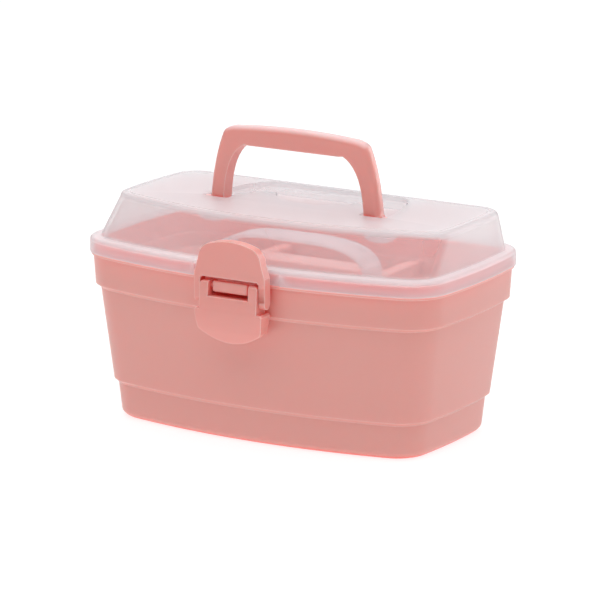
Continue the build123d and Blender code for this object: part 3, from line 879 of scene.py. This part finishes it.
def bandsOf(nodes, links, place, bands):
    # thicker, milkier bands round the lid at set heights: (start, full from, full to, end)
    height = nodes.new("ShaderNodeSeparateXYZ")
    links.new(place.outputs["Object"], height.inputs["Vector"])
    total = 0.0
    for start, low, high, end in bands:
        up = mathOf(nodes, links, "SUBTRACT", height.outputs["Z"], start * mm)
        up = mathOf(nodes, links, "DIVIDE", up, (low - start) * mm)
        down = mathOf(nodes, links, "SUBTRACT", end * mm, height.outputs["Z"])
        down = mathOf(nodes, links, "DIVIDE", down, (end - high) * mm)
        band = mathOf(nodes, links, "MINIMUM", up, down)
        band = mathOf(nodes, links, "MINIMUM", band, 1.0)
        band = mathOf(nodes, links, "MAXIMUM", band, 0.0)
        total = mathOf(nodes, links, "ADD", total, band)
    return total


def milkyPlastic(name, haze, bands=()):
    # milk in the plastic: part of the light is scattered on, and a slanting look crosses more of it
    f = milkFinish
    material, nodes, links, shader, place = newMaterial(name)
    cloud = noiseOf(nodes, links, place, f["cloud"], 3.0, 0.5)
    tone = rampOf(nodes, links, cloud.outputs["Fac"], 0.35, 0.7, (f["cloudy"], f["clear"]))
    links.new(tone.outputs["Color"], shader.inputs["Base Color"])
    shape = nodes.new("ShaderNodeNewGeometry")
    edges = rampOf(nodes, links, shape.outputs["Pointiness"], 0.51, 0.60, (grey(0), grey(1)))
    milkier = edges.outputs["Color"]
    if bands:
        milkier = mathOf(nodes, links, "MAXIMUM", milkier, bandsOf(nodes, links, place, bands))
    sheen = rampOf(nodes, links, cloud.outputs["Fac"], 0.3, 0.7,
                   (grey(f["roughness"] - 0.03), grey(f["roughness"] + 0.05)))
    links.new(sheen.outputs["Color"], shader.inputs["Roughness"])
    grain = noiseOf(nodes, links, place, f["grain"], 2.0)
    bumpOf(nodes, links, shader, grain.outputs["Fac"], f["bump"])
    facing = nodes.new("ShaderNodeLayerWeight")
    facing.inputs["Blend"].default_value = 0.5
    slant = mathOf(nodes, links, "SUBTRACT", 1.0, facing.outputs["Facing"])
    slant = mathOf(nodes, links, "MAXIMUM", slant, f["least slant"])
    crossed = mathOf(nodes, links, "DIVIDE", 1.0, slant)
    through = mathOf(nodes, links, "POWER", 1.0 - haze, crossed)
    thick = mathOf(nodes, links, "MULTIPLY", milkier, f["edge milk"])
    thick = mathOf(nodes, links, "SUBTRACT", 1.0, thick)
    through = mathOf(nodes, links, "MULTIPLY", through, thick)
    glow = nodes.new("ShaderNodeBsdfTranslucent")
    links.new(tone.outputs["Color"], glow.inputs["Color"])
    milkShader = nodes.new("ShaderNodeMixShader")
    milkShader.inputs["Fac"].default_value = f["scattered on"]
    links.new(shader.outputs["BSDF"], milkShader.inputs[1])
    links.new(glow.outputs["BSDF"], milkShader.inputs[2])
    clear = nodes.new("ShaderNodeBsdfTransparent")
    whole = nodes.new("ShaderNodeMixShader")
    links.new(through, whole.inputs["Fac"])
    links.new(milkShader.outputs["Shader"], whole.inputs[1])
    links.new(clear.outputs["BSDF"], whole.inputs[2])
    lampRay = nodes.new("ShaderNodeLightPath")
    letIn = nodes.new("ShaderNodeBsdfTransparent")
    letIn.inputs["Color"].default_value = f["lets in"]
    lit = nodes.new("ShaderNodeMixShader")
    links.new(lampRay.outputs["Is Shadow Ray"], lit.inputs["Fac"])
    links.new(whole.outputs["Shader"], lit.inputs[1])
    links.new(letIn.outputs["BSDF"], lit.inputs[2])
    links.new(lit.outputs["Shader"], nodes["Material Output"].inputs["Surface"])
    return material


def drawnWire():
    f = wireFinish
    material, nodes, links, shader, place = newMaterial("drawn_wire")
    streak = noiseOf(nodes, links, place, 900.0, 3.0, 0.6, (0.04, 1, 1))
    tone = rampOf(nodes, links, streak.outputs["Fac"], 0.3, 0.7, (f["dull"], f["bright"]))
    links.new(tone.outputs["Color"], shader.inputs["Base Color"])
    paintedLightAndWear = rampOf(nodes, links, streak.outputs["Fac"], 0.3, 0.7,
                  (grey(f["roughness"] + 0.1), grey(f["roughness"])))
    links.new(paintedLightAndWear.outputs["Color"], shader.inputs["Roughness"])
    bumpOf(nodes, links, shader, streak.outputs["Fac"], 0.15, 0.00005)
    shader.inputs["Metallic"].default_value = 1.0
    return material


def dress(piece, material, slotName, body, *nodes):
    piece.data.materials.clear()
    piece.data.materials.append(material)
    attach(piece, body)
    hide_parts(*nodes)
    return piece


# the assembly

pink = mouldedPink("moulded_pink")
milk = milkyPlastic("milky_plastic", milkFinish["haze"], milkFinish["bands"])
wire = drawnWire()

dress(makeTub(), pink, "pink_plastic", "tub", "tub")
print("tub made")
for side, node in ((-1, "hinge_pin_left"), (1, "hinge_pin_right")):
    dress(makeHingePin(side), wire, "steel", "tub", node)
dress(makeLid(), milk, "milky_plastic", "lid", "lid")
print("lid made")
# the grip's copy of the pink, with its upward faces painted paler as a painted sheen
gripPinkSheen = mouldedPink("moulded_pink_grip_sheen", pinkFinish["grip top sheen"])
dress(makeCarryHandle(), gripPinkSheen, "pink_plastic", "carry_handle", "carry_handle")
dress(makeLever(), pink, "pink_plastic", "latch_lever", "latch_lever")
dress(makeHasp(), pink, "pink_plastic", "latch_hasp", "latch_hasp")
print("handle and latch made")
dress(makeTray(), pink, "pink_plastic", "tray", "tray")
strapMilk = milkyPlastic("milky_strap", milkFinish["strap haze"])
dress(makeStrap(), strapMilk, "milky_plastic", "tray", "tray_handle")
print("tray made")


# studio

studio = {
    "floor colour": (0.28, 0.28, 0.28, 1), "floor glow": 0.82, "sky": 0.12,
    "lamps": [
        ("top_softbox", (0.0, 0.0, 2.5), 4.0, 90.0, True),
        ("left_softbox", (-1.5, -1.2, 1.0), 1.2, 2.0, True),
        ("right_softbox", (1.9, -0.1, 0.9), 1.2, 2.0, True),
        ("side_gloss_panel", (1.2, 1.6, 0.4), 1.8, 40.0, False),
        ("back_gloss_panel", (-1.7, 2.7, 1.6), 2.6, 22.0, False),
    ],
}
view = {"turn": 31.405, "rise": 13.516, "distance": 3.2687, "lens": 300.0, "sensor": 36.0,
        "aim": (0.0, 0.0055, 0.075), "right": -0.00095, "up": 0.00685}


def makeStudio():
    clearSelection()
    bpy.ops.mesh.primitive_plane_add(size=12, location=(0, 0, -0.0003))
    floor = freeze(named("studio_floor"))
    material, nodes, links, shader, place = newMaterial("pale_floor")
    cloud = noiseOf(nodes, links, place, 2.0)
    base = studio["floor colour"]
    tone = rampOf(nodes, links, cloud.outputs["Fac"], 0.3, 0.7, (grey(base[0] - 0.01), base))
    links.new(tone.outputs["Color"], shader.inputs["Base Color"])
    shader.inputs["Roughness"].default_value = 0.9
    shader.inputs["Emission Color"].default_value = (1, 1, 1, 1)
    shader.inputs["Emission Strength"].default_value = studio["floor glow"]
    floor.data.materials.append(material)
    world = bpy.data.worlds.new("studio_sky")
    world.use_nodes = True
    world.node_tree.nodes["Background"].inputs["Color"].default_value = (1, 1, 1, 1)
    world.node_tree.nodes["Background"].inputs["Strength"].default_value = studio["sky"]
    bpy.context.scene.world = world
    aim = Vector((0, 0, 0.08))
    for name, place, size, power, lights in studio["lamps"]:
        bpy.ops.object.light_add(type="AREA", location=place)
        lamp = bpy.context.object
        lamp.name = name
        lamp.data.size = size
        lamp.data.energy = power
        lamp.visible_diffuse = lights  # False for a panel that shows only in the gloss
        lamp.rotation_euler = (Vector(place) - aim).to_track_quat("Z", "Y").to_euler()


def makeCamera():
    a = math.radians(view["turn"])
    e = math.radians(view["rise"])
    right = Vector((math.cos(a), math.sin(a), 0))
    back = Vector((math.sin(a) * math.cos(e), -math.cos(a) * math.cos(e), math.sin(e)))
    up = back.cross(right)
    target = Vector(view["aim"]) + right * view["right"] + up * view["up"]
    bpy.ops.object.camera_add(location=target + back * view["distance"])
    camera = bpy.context.object
    camera.rotation_euler = back.to_track_quat("Z", "Y").to_euler()
    camera.data.lens = view["lens"]
    camera.data.sensor_width = view["sensor"]
    bpy.context.scene.camera = camera


makeStudio()
makeCamera()
bpy.context.scene.view_settings.view_transform = "Standard"
print("studio made")
